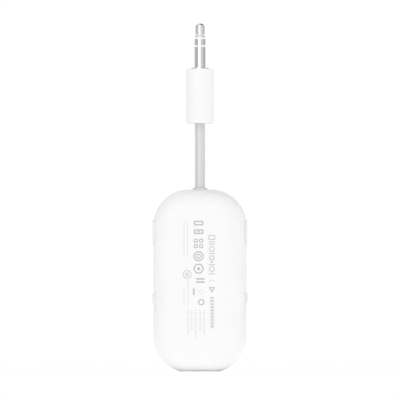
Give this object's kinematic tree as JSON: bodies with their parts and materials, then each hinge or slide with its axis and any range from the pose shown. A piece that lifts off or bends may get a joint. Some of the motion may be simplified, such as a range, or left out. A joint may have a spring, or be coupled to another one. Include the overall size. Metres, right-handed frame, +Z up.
{
  "type": "bluetooth audio receiver",
  "caption": "Pocket wireless audio receiver: a pill-shaped white housing with side keys and slide switches, a short flexible lead and a 3.5 mm stereo plug.",
  "frame": {"origin": "middle of the flat foot under the housing", "axes": "+Z up through the lead and jack, X across the housing, -Y out of the plain back face, +Y out of the front face with the button"},
  "size_m": [0.03, 0.0124, 0.1094],
  "materials": {
    "housing_white": "satin white moulded polycarbonate",
    "key_white": "satin white moulded plastic",
    "plug_white": "satin white moulding",
    "lead_grey": "matte light grey thermoplastic elastomer",
    "collar_grey": "matte light grey elastomer",
    "jack_nickel": "polished nickel plating",
    "insulator_white": "white moulded insulation",
    "inner_plastic": "natural moulded plastic",
    "light_clear": "clear polycarbonate light pipe",
    "light_chip": "encapsulated light chip",
    "board_green": "solder-masked glass epoxy",
    "chip_black": "moulded epoxy",
    "switch_black": "black moulded plastic",
    "peg_white": "natural nylon",
    "capacitor_tan": "ceramic chip",
    "steel": "plated steel",
    "gold": "gold-plated contact",
    "brass": "drawn brass",
    "solder": "solder",
    "cell_foil": "laminated aluminium pouch",
    "foam_pad": "double-sided foam pad",
    "wire_red": "red wire insulation",
    "wire_black": "black wire insulation",
    "wire_white": "white wire insulation",
    "copper": "bare copper strands"
  },
  "bodies": {
    "housing": {"front_shell": "housing_white", "back_shell": "housing_white", "lead_collar": "collar_grey", "lead_terminal": "inner_plastic", "light_window_left": "light_clear", "light_window_right": "light_clear", "light_left": "light_chip", "light_right": "light_chip", "main_board": "board_green", "battery_protection_strip": "board_green", "radio_chip": "chip_black", "audio_chip": "chip_black", "charger_chip": "chip_black", "power_inductor": "chip_black", "volume_up_switch": "switch_black", "volume_down_switch": "switch_black", "mode_slide_switch": "switch_black", "power_slide_switch": "switch_black", "front_button_switch": "switch_black", "usb_tongue": "switch_black", "chip_capacitors": "capacitor_tan", "antenna": "capacitor_tan", "board_screws": "steel", "shield_can": "steel", "crystal": "steel", "usb_shell": "steel", "usb_contacts": "gold", "lead_crimp_ring": "brass", "battery_cell": "cell_foil", "battery_pad": "foam_pad", "battery_wire_positive": "wire_red", "battery_wire_negative": "wire_black"},
    "front_button_group": {"front_button": "key_white", "front_button_plunger": "peg_white"},
    "volume_up_group": {"volume_up_key": "key_white", "volume_up_plunger": "peg_white"},
    "volume_down_group": {"volume_down_key": "key_white", "volume_down_plunger": "peg_white"},
    "mode_slide_group": {"mode_slide_knob": "key_white", "mode_slide_peg": "peg_white"},
    "power_slide_group": {"power_slide_knob": "key_white", "power_slide_peg": "peg_white"},
    "lead": {"lead_jacket": "lead_grey", "lead_conductor_ground": "copper", "lead_conductor_left": "wire_white", "lead_conductor_right": "wire_red"},
    "plug": {"plug_cover": "plug_white", "plug_end_ring": "plug_white", "plug_inner_moulding": "inner_plastic", "plug_solder_beads": "solder", "jack_sleeve": "jack_nickel", "jack_ring_insulator": "insulator_white", "jack_ring": "jack_nickel", "jack_tip_insulator": "insulator_white", "jack_tip": "jack_nickel"}
  },
  "joints": [
    {"name": "front_button_press", "type": "slide", "parent": "housing", "child": "front_button_group", "axis": [0, -1, 0], "range_m": [0, 0.00025], "stiffness_N_per_m": 600, "springref_m": -0.0005},
    {"name": "volume_up_press", "type": "slide", "parent": "housing", "child": "volume_up_group", "axis": [-1, 0, 0], "range_m": [0, 0.00025], "stiffness_N_per_m": 600, "springref_m": -0.0005},
    {"name": "volume_down_press", "type": "slide", "parent": "housing", "child": "volume_down_group", "axis": [1, 0, 0], "range_m": [0, 0.00025], "stiffness_N_per_m": 600, "springref_m": -0.0005},
    {"name": "mode_slide", "type": "slide", "parent": "housing", "child": "mode_slide_group", "axis": [0, 0, -1], "range_m": [0, 0.002]},
    {"name": "power_slide", "type": "slide", "parent": "housing", "child": "power_slide_group", "axis": [0, 0, -1], "range_m": [0, 0.002]},
    {"name": "lead_bend_front_back", "type": "hinge", "parent": "housing", "child": "lead", "pos_m": [0, 0, 0.0631], "axis": [1, 0, 0], "range_deg": [-60, 60], "stiffness_Nm_per_rad": 0.015, "deforming": ["lead_jacket", "lead_conductor_ground", "lead_conductor_left", "lead_conductor_right"]},
    {"name": "lead_bend_side", "type": "hinge", "parent": "lead", "child": "plug", "pos_m": [0, 0, 0.0731], "axis": [0, 1, 0], "range_deg": [-60, 60], "stiffness_Nm_per_rad": 0.015, "deforming": ["lead_jacket", "lead_conductor_ground", "lead_conductor_left", "lead_conductor_right"]}
  ]
}
